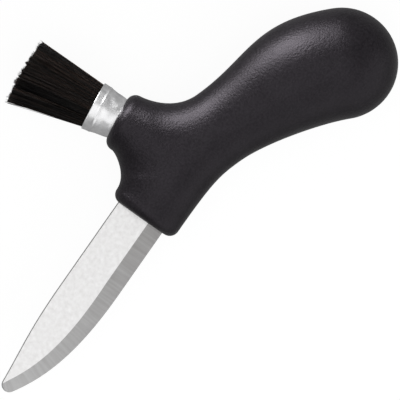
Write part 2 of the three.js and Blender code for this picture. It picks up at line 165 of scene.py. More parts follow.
blade_back = blade_rise + blade_width / 2
blade_edge = blade_rise - blade_width / 2
half_thickness = blade_thickness / 2
tip_centre = np.array((tip_radius - blade_reach, blade_rise + tip_rise))
belly = bend(
    np.array((-edge_straight, blade_edge)), heading(180), belly_lead,
    tip_centre + tip_radius * heading(tip_edge_angle), heading(tip_edge_angle - 90), tip_lead,
)
back = bend(
    np.array((-back_straight, blade_back)), heading(180), back_lead,
    tip_centre + tip_radius * heading(tip_back_angle), heading(tip_back_angle + 90), back_tip_lead,
)
tip_turns = np.linspace(tip_edge_angle, tip_back_angle, tip_points)
tip_arc = np.array([tip_centre + tip_radius * heading(turn) for turn in tip_turns])

# The ground face: its edge, and the shoulder where it meets the flat. Past the curved edge it runs
# on as a plane until it leaves the steel at the back of the rounded tip.
bevel_inward = normals_of(belly, -1)
bevel_widths = np.linspace(bevel_width, bevel_tip_width, curve_points)[:, None]
edge_line = np.vstack(([blade_inset, blade_edge], belly))
shoulder_line = np.vstack(([blade_inset, blade_edge + bevel_width], belly + bevel_inward * bevel_widths))
rim = np.vstack((tip_arc[1:], back[::-1][1:]))
rim_depth = (rim - belly[-1]) @ bevel_inward[-1]
runout = int(np.argmax(rim_depth >= bevel_tip_width))
runout_share = np.interp(bevel_tip_width, rim_depth[runout - 1:runout + 1], (0, 1))
runout_point = rim[runout - 1] + runout_share * (rim[runout] - rim[runout - 1])
ground_rim = np.vstack((rim[:runout], runout_point))
ground_depth = np.append(rim_depth[:runout], bevel_tip_width)
edge_height = np.concatenate((
    np.full(len(edge_line), edge_land / 2),
    edge_land / 2 + (half_thickness - edge_land / 2) * ground_depth / bevel_tip_width,
))
edge_line = np.vstack((edge_line, ground_rim))
runout_shoulder = runout_point + rim_chamfer * normals_of(edge_line, -1)[-1]
tip_shoulder = np.linspace(shoulder_line[-1], runout_shoulder, len(ground_rim) + 1)[1:]
shoulder_line = np.vstack((shoulder_line, tip_shoulder))
back_line = np.vstack(([blade_inset, blade_back], rim[runout:][::-1], runout_point))
back_line = spaced(back_line, shares_along(shoulder_line))
back_inner = back_line + rim_chamfer * normals_of(back_line, 1)
back_inner[-1] = runout_shoulder

# The tang, from its round-cornered end to the blade's root
corner_turns = np.radians(np.linspace(0, 90, tang_corner_points))
tang_x = np.append(tang_reach - tang_corner * (1 - np.cos(corner_turns)), blade_inset)
tang_half = np.append(tang_width / 2 - tang_corner * (1 - np.sin(corner_turns)), tang_width / 2)
tang_back = np.column_stack((tang_x, blade_rise + tang_half))
tang_edge = np.column_stack((tang_x, blade_rise - tang_half))
tang_chamfer = np.array((0, rim_chamfer))


def blade_sections(back_outer, back_inside, shoulder, edge_outer, edge_heights, edge_inward):
    """Rings round the blade: from its back over flat and ground face to the edge, and mirrored."""
    edge_chamfer = np.minimum(rim_chamfer, edge_chamfer_share * edge_heights)
    edge_inside = edge_outer + edge_inward * edge_chamfer[:, None]
    ground_width = np.linalg.norm(shoulder - edge_outer, axis=1)
    slope = (half_thickness - edge_heights) / ground_width

    def column(points, heights):
        return np.column_stack((points, np.broadcast_to(heights, len(points))))

    upper = np.stack((
        column(back_outer, half_thickness - rim_drop),
        column(back_inside, half_thickness),
        column(shoulder, half_thickness),
        column(edge_inside, edge_heights + slope * edge_chamfer),
        column(edge_outer, edge_heights - edge_chamfer),
    ), axis=1)
    lower = upper[:, ::-1] * (1, 1, -1)
    return np.concatenate((upper, lower), axis=1) + nose_face


blade_rings = np.concatenate((
    blade_sections(
        tang_back, tang_back - tang_chamfer, tang_edge + tang_chamfer, tang_edge,
        np.full(len(tang_x), half_thickness), np.array((0, 1)),
    ),
    blade_sections(
        back_line, back_inner, shoulder_line, edge_line, edge_height, normals_of(edge_line, -1),
    ),
))


def feed(tree, node, inputs):
    """Sets a node's inputs to plain values, or links them to sockets of other nodes."""
    for name, value in inputs.items():
        if isinstance(value, bpy.types.NodeSocket):
            tree.links.new(value, node.inputs[name])
        else:
            node.inputs[name].default_value = value


def new_node(tree, kind, inputs=None, **settings):
    """Adds a node with its settings and inputs."""
    node = tree.nodes.new(kind)
    for name, value in settings.items():
        setattr(node, name, value)
    feed(tree, node, inputs or {})
    return node


def maths(tree, operation, first, second):
    return new_node(tree, "ShaderNodeMath", {0: first, 1: second}, operation=operation).outputs[0]


def new_material(name):
    """A new node material with its shader, and the object's own coordinates."""
    material = bpy.data.materials.new(name)
    material.use_nodes = True
    tree = material.node_tree
    shader = tree.nodes["Principled BSDF"]
    place = new_node(tree, "ShaderNodeTexCoord").outputs["Object"]
    return material, tree, shader, place


def patches(tree, place, scale, low, high, detail=3, stretch=(1, 1, 1)):
    """A number that wanders between two values over the surface, in patches."""
    noise_low, noise_high = 0.3, 0.7  # most of the noise lies between these
    mapped = new_node(tree, "ShaderNodeMapping", {"Vector": place, "Scale": stretch})
    texture = new_node(tree, "ShaderNodeTexNoise", {
        "Vector": mapped.outputs["Vector"], "Scale": scale, "Detail": detail,
    })
    spread = new_node(tree, "ShaderNodeMapRange", {
        "Value": texture.outputs["Fac"], "From Min": noise_low, "From Max": noise_high,
        "To Min": low, "To Max": high,
    })
    return spread.outputs["Result"]


def between(tree, share, first, second):
    """A colour between two, by a share."""
    # The node has sockets for each kind of value: inputs 6 and 7 and output 2 are its colours
    mix = new_node(tree, "ShaderNodeMix", {
        "Factor": share, 6: (*first, 1), 7: (*second, 1),
    }, data_type="RGBA")
    return mix.outputs[2]


def bumped(tree, height, distance):
    """Normals of a surface that a height from 0 to 1 raises by up to a distance."""
    bump = new_node(tree, "ShaderNodeBump", {"Height": height, "Distance": distance, "Strength": 1})
    return bump.outputs["Normal"]


def steel_flat():
    """Tumbled sheet: pale, mottled, with faint drawn lines along the blade."""
    material, tree, shader, place = new_material("tumbled_steel")
    mottle = patches(tree, place, 700, 0, 1, detail=5)
    colour = between(tree, mottle, (0.75, 0.741, 0.738), (0.845, 0.841, 0.841))
    rough = patches(tree, place, 900, 0.33, 0.39, detail=2)
    lines = patches(tree, place, 260, 0, 1, detail=4, stretch=(0.04, 8, 1))
    normal = bumped(tree, lines, 0.002 * mm)
    feed(tree, shader, {"Base Color": colour, "Roughness": rough, "Normal": normal, "Metallic": 1})
    return material


def steel_sheared():
    """The stamped rim: torn by the die, so rougher and a little darker than the flat."""
    material, tree, shader, place = new_material("sheared_steel")
    tears = patches(tree, place, 700, 0, 1, stretch=(1, 1, 0.2))
    colour = between(tree, tears, (0.55, 0.545, 0.54), (0.7, 0.695, 0.69))
    rough = patches(tree, place, 500, 0.42, 0.55)
    normal = bumped(tree, tears, 0.01 * mm)
    feed(tree, shader, {"Base Color": colour, "Roughness": rough, "Normal": normal, "Metallic": 1})
    return material


def steel_ground():
    """The ground face: darker and streaked across by the wheel. Its colour is painted paler towards the
    tip, a painted reflection of the brighter light it mirrors there.
    """
    material, tree, shader, place = new_material("ground_steel")
    grind = new_node(tree, "ShaderNodeAttribute", attribute_name="grind").outputs["Vector"]
    streaks = patches(tree, grind, 900, 0, 0.4, stretch=(1, 0.06, 1))
    # Painted reflection: the colour grows paler from heel to tip and stands in for the brighter light the
    # ground face mirrors towards the tip, not a change of polish
    painted_tip_brightening = new_node(tree, "ShaderNodeMapRange", {
        "Value": new_node(tree, "ShaderNodeSeparateXYZ", {0: grind}).outputs["X"],
        "From Max": blade_reach, "To Max": 0.6,
    }).outputs["Result"]
    tone = maths(tree, "ADD", streaks, painted_tip_brightening)
    colour = between(tree, tone, (0.3, 0.291, 0.287), (0.5, 0.5, 0.5))
    rough = patches(tree, place, 300, 0.34, 0.44)
    normal = bumped(tree, streaks, 0.008 * mm)
    feed(tree, shader, {"Base Color": colour, "Roughness": rough, "Normal": normal, "Metallic": 1})
    return material


flat_finish, ground_finish, rim_finish = 0, 1, 2
upper_finishes = [rim_finish, flat_finish, ground_finish, rim_finish]
section_finishes = upper_finishes + [rim_finish] + upper_finishes[::-1] + [rim_finish]
section_corners = range(len(section_finishes))
edge_corners = range(3, 7)  # those of a section that lie at the edge, on both sides
blade_skin = lofted(blade_rings, section_finishes, sharp=section_corners, capped=(True, False))
grind_layer = blade_skin.verts.layers.float_vector.new("grind")
edge_run = shares_along(edge_line) * np.linalg.norm(np.diff(edge_line, axis=0), axis=1).sum()
station_run = np.concatenate((np.zeros(len(tang_x)), edge_run))
for corner, (station, column) in zip(blade_skin.verts, np.ndindex(blade_rings.shape[:2])):
    from_edge = 0 if column in edge_corners else bevel_width
    corner[grind_layer] = (station_run[station], from_edge, 0)
blade = made("ground_blade", blade_skin, [steel_flat(), steel_ground(), steel_sheared()])
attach(blade, "root")
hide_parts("blade")

# Handle
# One solid moulding in black plastic with a fine grain, from a two-part mould that closes in the plane
# of the blade. It grips the tang, and forks into a flat-faced nose for the blade and one for the brush.

nose_wall = 3.5 * mm  # plastic beside the blade
nose_half_width = blade_width / 2 + nose_wall
nose_half_height = 9 * mm
nose_rim = 3.3 * mm
blade_stem = 12.7 * mm  # rim of the blade nose to the fork's level crown
brush_stem = 10.2 * mm
brush_lean = 7.1  # degrees between the brush and a square to the blade
ferrule_neck_radius = 7.05 * mm
brush_nose_wall = 2.95 * mm  # plastic round the ferrule
brush_nose_radius = ferrule_neck_radius + brush_nose_wall
fork_reach = 25.3 * mm  # blade face to fork
brush_reach = 25.5 * mm  # fork to brush face
waist_reach = 14 * mm  # fork to waist
waist_angle = -15.1
waist_half_width = 13 * mm
grip_angle = -20
knob_reach = 45 * mm  # waist to the middle of the knob
knob_angle = -27.4
knob_half_length = 18.5 * mm
knob_half_width = 18.3 * mm
knob_lean = -45.9
flatness = 0.8  # height of the grip by its width
# How long the curves of the outline keep to their first and last directions
notch_leads = (5.5 * mm, 1.2 * mm)
saddle_leads = (1.5 * mm, 9.4 * mm)
underside_leads = (19.7 * mm, 8.7 * mm)
top_leads = (20.9 * mm, 26.9 * mm)
bottom_leads = (9.4 * mm, 9.5 * mm)
parting_depth = 0.05 * mm
skin_inset = 0.075 * mm  # keeps the smooth skin inside the faceted solid's box
fit_gap = 0.06 * mm  # round the tang and the ferrule
rim_ribs = 10
stem_ribs = 16
fork_rib_count = 29
grip_rib_count = 41
knob_rib_count = 30
cut_crease_angle = 40

fork = np.array((fork_reach, 0))
brush_heading = heading(90 + brush_lean)
brush_face = fork + brush_reach * brush_heading
waist = fork + waist_reach * heading(waist_angle)
grip_heading = heading(grip_angle)
knob = waist + knob_reach * heading(knob_angle)
knob_heading = heading(knob_lean)
crown_height = waist_half_width * flatness


def left_of(direction):
    return np.array((-direction[1], direction[0]))


class Nose:
    """One of the two noses: a flat face with a rounded rim, and a stem that runs into the fork."""

    def __init__(self, face, into, half_width, half_height, stem):
        self.face = face
        self.into = into
        self.half_width = half_width
        self.half_height = half_height
        self.stem = stem
        self.stem_end = face + into * (nose_rim + stem)

    def shoulder(self, side):
        return self.face + self.into * nose_rim + left_of(self.into) * side * self.half_width

    def ribs(self, side, stem_feet):
        """Feet and crowns of one side, from the middle of the face to the fork."""
        feet, crowns = [self.face], [(*self.face, 0)]
        for turn in np.radians(np.linspace(0, 90, rim_ribs)):
            centre = self.face + self.into * nose_rim * (1 - math.cos(turn))
            inset = nose_rim * (1 - math.sin(turn))
            feet.append(centre + left_of(self.into) * side * (self.half_width - inset))
            crowns.append((*centre, self.half_height - inset))
        for share, foot in zip(np.linspace(0, 1, len(stem_feet) + 1)[1:], stem_feet):
            centre = self.face + self.into * (nose_rim + self.stem * share)
            ease = share * share * (3 - 2 * share)
            feet.append(foot)
            crowns.append((*centre, self.half_height + (crown_height - self.half_height) * ease))
        return np.array(feet), np.array(crowns)


blade_nose = Nose(np.zeros(2), heading(0), nose_half_width, nose_half_height, blade_stem)
brush_nose = Nose(brush_face, -brush_heading, brush_nose_radius, brush_nose_radius, brush_stem)
waist_top = waist + left_of(grip_heading) * waist_half_width
waist_bottom = waist - left_of(grip_heading) * waist_half_width
knob_top = knob + left_of(knob_heading) * knob_half_width
knob_bottom = knob - left_of(knob_heading) * knob_half_width

notch = bend(
    blade_nose.shoulder(1), blade_nose.into, notch_leads[0],
    brush_nose.shoulder(-1), brush_heading, notch_leads[1],
)
saddle = bend(
    brush_nose.shoulder(1), brush_nose.into, saddle_leads[0],
    waist_top, grip_heading, saddle_leads[1],
)
underside = bend(
    blade_nose.shoulder(-1), blade_nose.into, underside_leads[0],
    waist_bottom, grip_heading, underside_leads[1],
)
top_flank = bend(
    waist_top, grip_heading, top_leads[0], knob_top, knob_heading, top_leads[1],
)
bottom_flank = bend(
    waist_bottom, grip_heading, bottom_leads[0], knob_bottom, knob_heading, bottom_leads[1],
)


def crossing(point, direction, other, other_direction):
    """Where two straight lines cross."""
    distances = np.linalg.solve(np.column_stack((direction, -other_direction)), other - point)
    return point + direction * distances[0]


def fork_ribs(start, start_heading, end, end_heading, feet):
    """Ribs between two limbs: their level crown turns from one limb's axis to the other's."""
    corner = crossing(start, start_heading, end, end_heading)
    share = np.linspace(0, 1, len(feet) + 2)[1:-1, None]
    rail = (1 - share)**2 * start + 2 * (1 - share) * share * corner + share**2 * end
    return feet, np.column_stack((rail, np.full(len(feet), crown_height)))


def grip_ribs(side):
    """Ribs of one side of the grip and of the knob, whose end is half an ellipsoid."""
    shares = np.linspace(0, 1, grip_rib_count)
    top, bottom = spaced(top_flank, shares), spaced(bottom_flank, shares)
    heights = flatness * np.linalg.norm(top - bottom, axis=1) / 2
    turns = np.radians(np.linspace(0, 90, knob_rib_count + 1))[1:]
    axis = knob + np.outer(knob_half_length * np.sin(turns), knob_heading)
    halves = knob_half_width * np.cos(turns)
    feet = np.vstack((top if side > 0 else bottom, axis + np.outer(halves * side, left_of(knob_heading))))
    crowns = np.vstack((
        np.column_stack(((top + bottom) / 2, heights)),
        np.column_stack((axis, flatness * halves)),
    ))
    return feet, crowns


def run_of(*parts):
    """Ribs of several stretches as one run."""
    return np.vstack([feet for feet, _ in parts]), np.vstack([crowns for _, crowns in parts])


def backwards(ribs):
    return ribs[0][::-1], ribs[1][::-1]


stem_shares = np.linspace(0, 1, stem_ribs + 1)[1:]
fork_shares = np.linspace(0, 1, fork_rib_count + 2)[1:-1]
# Share of each curve that lies along the stem of a nose
notch_blade_share, notch_brush_share, saddle_share, underside_share = 0.32, 0.36, 0.24, 0.28
notch_fork = fork_ribs(
    blade_nose.stem_end, blade_nose.into, brush_nose.stem_end, brush_nose.into,
    spaced(notch, notch_blade_share + (1 - notch_brush_share - notch_blade_share) * fork_shares),
)
saddle_fork = fork_ribs(
    brush_nose.stem_end, brush_nose.into, waist, grip_heading,
    spaced(saddle, saddle_share + (1 - saddle_share) * fork_shares),
)
underside_fork = fork_ribs(
    blade_nose.stem_end, blade_nose.into, waist, grip_heading,
    spaced(underside, underside_share + (1 - underside_share) * fork_shares),
)
notch_run = run_of(
    blade_nose.ribs(1, spaced(notch, notch_blade_share * stem_shares)),
    notch_fork,
    backwards(brush_nose.ribs(-1, spaced(notch, 1 - notch_brush_share * stem_shares))),
)
top_run = run_of(
    brush_nose.ribs(1, spaced(saddle, saddle_share * stem_shares)), saddle_fork, grip_ribs(1),
)
bottom_run = run_of(
    backwards(grip_ribs(-1)),
    backwards(underside_fork),
    backwards(blade_nose.ribs(-1, spaced(underside, underside_share * stem_shares))),
)


def at_crown(point):
    return np.array((*point, crown_height))


# Level crown between the three limbs
plateau = np.vstack((
    at_crown(blade_nose.stem_end), notch_fork[1],
    at_crown(brush_nose.stem_end), saddle_fork[1],
    at_crown(waist), underside_fork[1][::-1],
))


def hull_skin():
    """The skin: ribs arch from the parting line, where a fine witness groove runs, to the crown."""
    skin = bmesh.new()
    groove_angles = (0, 0.5, 1)  # degrees up a rib, close together to keep the groove fine
    arch = np.radians(np.concatenate((groove_angles, np.linspace(3.5, 90, 26))))
    sunk = np.where(arch > 0, skin_inset, skin_inset + parting_depth) * np.cos(arch)
    flattened = 1 - skin_inset / crown_height
    for side in (1, -1):
        for feet, crowns in (notch_run, top_run, bottom_run):
            rows = []
            for foot, crown in zip(feet, crowns):
                across = crown[:2] - foot
                plan = foot + np.outer(1 - np.cos(arch), across) + np.outer(sunk, unit(across))
                heights = side * flattened * crown[2] * np.sin(arch)
                points = np.column_stack((plan, heights)) + nose_face
                rows.append([skin.verts.new(point) for point in points])
            for row, other in zip(rows, rows[1:]):
                for j in range(len(arch) - 1):
                    skin.faces.new((row[j], row[j + 1], other[j + 1], other[j])).smooth = True
        level = plateau * (1, 1, side * flattened) + nose_face
        skin.faces.new([skin.verts.new(point) for point in level]).smooth = True
    return skin


def handle_plastic():
    """Black plastic with a fine leathery grain, in places a little paler or smoother."""
    material, tree, shader, place = new_material("grained_plastic")
    grain = patches(tree, place, 1500, 0, 1, detail=2)
    rubbed = patches(tree, place, 140, -0.2, 0.2)
    tone = maths(tree, "ADD", grain, rubbed)
    colour = between(tree, tone, (0.0018, 0.0012, 0.0019), (0.0112, 0.0098, 0.0116))
    rough = patches(tree, place, 90, 0.37, 0.43)
    feed(tree, shader, {
        "Base Color": colour, "Roughness": rough, "Normal": bumped(tree, grain, 0.044 * mm),
        "Specular IOR Level": 0.29, "Specular Tint": (0.97, 0.89, 1, 1),
    })
    return material


def cut(shape, *tools):
    """Takes tools out of a shape, which stays a plain mesh object, and removes the tools."""
    for tool in tools:
        boolean = shape.modifiers.new(tool.name, "BOOLEAN")
        boolean.object = tool
        boolean.operation = "DIFFERENCE"
        boolean.solver = "EXACT"
    left = bpy.data.meshes.new_from_object(shape.evaluated_get(bpy.context.evaluated_depsgraph_get()))
    left.set_sharp_from_angle(angle=math.radians(cut_crease_angle))
    shape.modifiers.clear()
    shape.data = left
    for tool in tools:
        bpy.data.objects.remove(tool)


def slot_ring(x, top, bottom):
    """Corners of the tang's slot at a depth in the handle."""
    half = half_thickness + fit_gap
    corners = ((x, top, half), (x, bottom, half), (x, bottom, -half), (x, top, -half))
    return np.array(corners) + nose_face


root_end = blade_inset + fit_gap
tang_top = blade_rise + tang_width / 2 + fit_gap
tang_bottom = blade_rise - tang_width / 2 - fit_gap
slot_tool = made("tang_slot", lofted([
    slot_ring(-nose_rim, blade_back + fit_gap, blade_edge - fit_gap),
    slot_ring(root_end, blade_back + fit_gap, blade_edge - fit_gap),
    slot_ring(root_end, tang_top, tang_bottom),
    slot_ring(tang_reach + fit_gap, tang_top, tang_bottom),
]), [])

# The brush's own frame: its Z is the brush's axis, and it starts on the brush face
brush_place = Matrix.Translation(Vector((*brush_face, 0)) + Vector(nose_face)) @ Matrix((
    (brush_heading[1], 0, brush_heading[0], 0),
    (-brush_heading[0], 0, brush_heading[1], 0),
    (0, -1, 0, 0),
    (0, 0, 0, 1),
))
round_sides = 160


def turned(profile, dent=None):
    """Rings of a shape turned about the brush's axis, from a line of radii and heights."""
    turns = np.linspace(0, 2 * math.pi, round_sides, endpoint=False)
    rings = []
    for radius, height in profile:
        ring = []
        for turn in turns:
            reach = radius + (dent(turn, height) if dent else 0)
            ring.append(brush_place @ Vector((reach * math.cos(turn), reach * math.sin(turn), height)))
        rings.append(ring)
    return rings


ferrule_depth = 9 * mm
socket_radius = ferrule_neck_radius + fit_gap
socket_tool = made("ferrule_socket", lofted(turned([
    (socket_radius, -ferrule_depth - fit_gap), (socket_radius, nose_rim),
])), [])
handle = made("moulded_handle", hull_skin(), [handle_plastic()])
cut(handle, slot_tool, socket_tool)
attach(handle, "root")
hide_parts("handle")

# Ferrule
# A thin drawn metal sleeve, polished, with one rolled bead and a folded lip at its mouth. It is pressed
# into the brush nose, and the pressing and crimping have left it slightly dented.

ferrule_reach = 8.85 * mm
ferrule_mouth_radius = 8.4 * mm
ferrule_wall = 0.45 * mm
lip_radius = ferrule_wall / 2
bead_height = 0.1 * mm
bead_width = 1.3 * mm
bead_middle = ferrule_reach - 2.7 * mm
dent_depth = 0.13 * mm
dent_length = 2.6 * mm  # along the ferrule
dents_across = 2.2  # cells of the noise from the axis to the wall, which set the dents' width
ferrule_steps = 70
ferrule_flare = (ferrule_mouth_radius - ferrule_neck_radius) / ferrule_reach


def ferrule_radius(height):
    return ferrule_neck_radius + ferrule_flare * max(height, 0)


def bead(height):
    """How far the rolled bead stands out at a height."""
    share = (height - bead_middle) / bead_width + 0.5
    return bead_height * math.sin(math.pi * share)**2 if 0 < share < 1 else 0


def ferrule_dent(turn, height):
    """Soft dents on the shown part, none in the socket."""
    if height <= 0:
        return 0
    across, along = math.cos(turn) * dents_across, math.sin(turn) * dents_across
    place = Vector((across, along, height / dent_length))
    return dent_depth * noise.noise(place) * min(1, height / mm)


outer_heights = np.concatenate((
    np.linspace(-ferrule_depth, 0, 4), np.linspace(0, ferrule_reach - lip_radius, ferrule_steps)[1:],
))
ferrule_outside = [(ferrule_radius(h) + bead(h), h) for h in outer_heights]
lip_centre = (ferrule_radius(ferrule_reach) - lip_radius, ferrule_reach - lip_radius)
ferrule_lip = [(lip_centre[0] + lip_radius * math.cos(turn), lip_centre[1] + lip_radius * math.sin(turn))
               for turn in np.radians(np.linspace(10, 170, 9))]
ferrule_inside = [(radius - ferrule_wall, height) for radius, height in ferrule_outside[::-1]]


def ferrule_metal():
    """Bright drawn metal, cloudy in places and finely scuffed."""
    material, tree, shader, place = new_material("drawn_metal")
    cloud = patches(tree, place, 260, 0, 1)
    colour = between(tree, cloud, (0.73, 0.73, 0.74), (0.92, 0.92, 0.925))
    rough = patches(tree, place, 520, 0.28, 0.38)
    normal = bumped(tree, patches(tree, place, 800, 0, 1, detail=4), 0.004 * mm)
    feed(tree, shader, {"Base Color": colour, "Roughness": rough, "Normal": normal, "Metallic": 1})
    return material


ferrule_rings = turned(ferrule_outside + ferrule_lip + ferrule_inside, ferrule_dent)
ferrule = made("drawn_ferrule", lofted(ferrule_rings, joined=True), [ferrule_metal()])
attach(ferrule, "root")
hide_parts("brush_ferrule")

# Resin setting
# The plug of brown casting resin that fills the ferrule and holds the roots of the bristles. Its face
# has crept up a little at the wall, and lies just below the ferrule's mouth.

setting_drop = 1.2 * mm
setting_face = ferrule_reach - setting_drop
setting_gap = 0.02 * mm
creep = 0.35 * mm
creep_power = 6  # how closely the creep keeps to the wall
axis_radius = 0.01 * mm  # a tiny disc stands in for the point on the axis
setting_profile = [(axis_radius, -ferrule_depth)]
for h in np.linspace(-ferrule_depth, setting_face + creep, 12):
    setting_profile.append((ferrule_radius(h) - ferrule_wall - setting_gap - dent_depth, h))
face_radius = setting_profile[-1][0]
for share in np.linspace(1, 0, 14)[1:]:
    crept_face = setting_face + creep * share**creep_power
    setting_profile.append((max(share * face_radius, axis_radius), crept_face))


def setting_resin():
    """Brown casting resin, cloudy and a little uneven."""
    material, tree, shader, place = new_material("cast_resin")
    cloud = patches(tree, place, 400, 0, 1)
    colour = between(tree, cloud, (0.05, 0.03, 0.016), (0.09, 0.055, 0.028))
    rough = patches(tree, place, 700, 0.25, 0.45)
    normal = bumped(tree, cloud, 0.05 * mm)
    feed(tree, shader, {"Base Color": colour, "Roughness": rough, "Normal": normal})
    return material


setting = made("cast_setting", lofted(turned(setting_profile)), [setting_resin()])
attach(setting, "root")
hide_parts("resin_setting")

# Bristles
# One tuft of dark natural bristle, set in the resin and trimmed to a slanted cut, past which a few clumps
# stand out. The hairs spread in clumps towards the cut and bow slightly to the blade's side. They are
# grown in four bundles, each a quarter of the tuft.

root_clearance = 0.35 * mm  # outer roots to the ferrule's wall
tuft_radius = ferrule_radius(setting_face) - ferrule_wall - root_clearance
bristle_root = 0.6 * mm  # depth of the roots in the resin
bristle_reach = 26.25 * mm  # ferrule's mouth to the longest tips
bristle_sizes = {
    "Hair spacing": 0.185 * mm,
    "Hair length": bristle_reach + setting_drop + bristle_root,
    "Hair radius": 0.1 * mm,
    "Tuft spread": 1.5,
    "Clump lean": 0.06,
    "Clump size": 0.9 * mm,
    "Stray lean": 0.045,
    "Cut slant": 0.053,
    "Raggedness": 1.2 * mm,
    "Bow": 0.55 * mm,
}
hair_shapes = 6
hair_sway = 0.35 * mm
tip_taper = 0.6  # radius at the tip by that at the root
clump_rarity = 8  # powers that leave few clumps and hairs past the cut
hair_rarity = 25
streaks_per_clump = 1.6
root_density = 1e9  # so high that the spacing alone counts
slice_points = 25


def tuft_tree(finish):
    """Geometry nodes that plant hairs on a slice of the setting and spread them to the cut."""
    tree = bpy.data.node_groups.new("bristle_tuft", "GeometryNodeTree")
    tree.interface.new_socket("Slice", in_out="INPUT", socket_type="NodeSocketGeometry")
    for name in bristle_sizes:
        tree.interface.new_socket(name, in_out="INPUT", socket_type="NodeSocketFloat")
    tree.interface.new_socket("Seed", in_out="INPUT", socket_type="NodeSocketInt")
    tree.interface.new_socket("Bristles", in_out="OUTPUT", socket_type="NodeSocketGeometry")
    sizes = new_node(tree, "NodeGroupInput").outputs

    def vectors(operation, first, second):
        node = new_node(tree, "ShaderNodeVectorMath", {0: first, 1: second}, operation=operation)
        return node.outputs[0]

    def scaled(vector, factor):
        node = new_node(tree, "ShaderNodeVectorMath", {0: vector, "Scale": factor}, operation="SCALE")
        return node.outputs[0]

    def random_number(low, high, shift):
        inputs = {2: low, 3: high, "Seed": maths(tree, "ADD", sizes["Seed"], shift)}
        return new_node(tree, "FunctionNodeRandomValue", inputs, data_type="FLOAT").outputs[1]

    # Roots, evenly scattered over the slice
    points = new_node(tree, "GeometryNodeDistributePointsOnFaces", {
        "Mesh": sizes["Slice"], "Distance Min": sizes["Hair spacing"], "Density Max": root_density,
        "Seed": sizes["Seed"],
    }, distribute_method="POISSON")
    root = new_node(tree, "GeometryNodeInputPosition").outputs[0]

    # Each hair leans outwards with the tuft, then with its clump, then by itself
    widening = maths(tree, "SUBTRACT", sizes["Tuft spread"], 1)
    outwards = maths(tree, "DIVIDE", widening, sizes["Hair length"])
    plan = new_node(tree, "ShaderNodeCombineXYZ", {"X": outwards, "Y": outwards, "Z": 0}).outputs[0]
    lean = vectors("MULTIPLY", root, plan)
    clumps = new_node(tree, "ShaderNodeTexVoronoi", {
        "Vector": root, "Scale": maths(tree, "DIVIDE", 1, sizes["Clump size"]),
    }).outputs["Color"]
    clump = vectors("SUBTRACT", clumps, (0.5, 0.5, 0.5))
    lean = vectors("ADD", lean, scaled(clump, sizes["Clump lean"]))
    stray = new_node(tree, "FunctionNodeRandomValue", {
        0: (-0.5, -0.5, 0), 1: (0.5, 0.5, 0), "Seed": sizes["Seed"],
    }, data_type="FLOAT_VECTOR")
    lean = vectors("ADD", lean, scaled(stray.outputs[0], sizes["Stray lean"]))
    direction = vectors("ADD", vectors("MULTIPLY", lean, (1, 1, 0)), (0, 0, 1))
    turn = new_node(tree, "FunctionNodeAlignRotationToVector", {"Vector": direction}, axis="Z")

    # Length to the slanted cut, past which a few clumps and hairs stand out
    root_x = new_node(tree, "ShaderNodeSeparateXYZ", {0: root}).outputs["X"]
    tip_x = maths(tree, "MULTIPLY", root_x, sizes["Tuft spread"])
    slant = maths(tree, "MULTIPLY", tip_x, sizes["Cut slant"])
    clump_number = new_node(tree, "ShaderNodeSeparateXYZ", {0: clumps}).outputs["Z"]
    clump_height = maths(tree, "POWER", clump_number, clump_rarity)
    clump_stands = maths(tree, "MULTIPLY", clump_height, random_number(0.4, 1, 4))
    hair_stands = maths(tree, "POWER", random_number(0, 1, 1), hair_rarity)
    standing = maths(tree, "MAXIMUM", clump_stands, hair_stands)
    drop = maths(tree, "MULTIPLY", maths(tree, "SUBTRACT", 1, standing), sizes["Raggedness"])
    length = maths(tree, "SUBTRACT", maths(tree, "SUBTRACT", sizes["Hair length"], slant), drop)
    width = random_number(0.75, 1.2, 2)
    scale = new_node(tree, "ShaderNodeCombineXYZ", {"X": width, "Y": width, "Z": length}).outputs[0]

    # A few hair shapes, all bowed the same way and each bent a little differently
    taper = new_node(tree, "ShaderNodeMapRange", {
        "Value": new_node(tree, "GeometryNodeSplineParameter").outputs["Factor"],
        "To Min": sizes["Hair radius"],
        "To Max": maths(tree, "MULTIPLY", sizes["Hair radius"], tip_taper),
    }).outputs["Result"]
    outline = new_node(tree, "GeometryNodeCurvePrimitiveCircle", {"Resolution": 3, "Radius": 1})
    shapes = new_node(tree, "GeometryNodeJoinGeometry")
    for number in range(hair_shapes):
        angle = 2 * math.pi * number / hair_shapes
        sway = new_node(tree, "ShaderNodeCombineXYZ", {
            "X": hair_sway * math.cos(angle), "Y": hair_sway * math.sin(angle), "Z": 0.5,
        }).outputs[0]
        tip = new_node(tree, "ShaderNodeCombineXYZ", {
            "X": maths(tree, "MULTIPLY", sizes["Bow"], -1), "Y": 0, "Z": 1,
        }).outputs[0]
        line = new_node(tree, "GeometryNodeCurveQuadraticBezier", {
            "Resolution": 5, "Start": (0, 0, 0), "Middle": sway, "End": tip,
        })
        hair = new_node(tree, "GeometryNodeCurveToMesh", {
            "Curve": line.outputs[0], "Profile Curve": outline.outputs["Curve"],
            "Scale": taper, "Fill Caps": True,
        })
        instance = new_node(tree, "GeometryNodeGeometryToInstance", {0: hair.outputs[0]})
        tree.links.new(instance.outputs[0], shapes.inputs[0])

    # A tint for each hair, in streaks that are set apart from the clumps
    streaks = new_node(tree, "ShaderNodeTexVoronoi", {
        "Vector": vectors("ADD", root, (1, 1, 1)),
        "Scale": maths(tree, "DIVIDE", streaks_per_clump, sizes["Clump size"]),
    }).outputs["Color"]
    streak_number = new_node(tree, "ShaderNodeSeparateXYZ", {0: streaks}).outputs["X"]
    tinted = new_node(tree, "GeometryNodeStoreNamedAttribute", {
        "Geometry": points.outputs["Points"], "Name": "hair_tint",
        "Value": maths(tree, "MULTIPLY", streak_number, random_number(0.5, 1, 3)),
    }, data_type="FLOAT", domain="POINT")

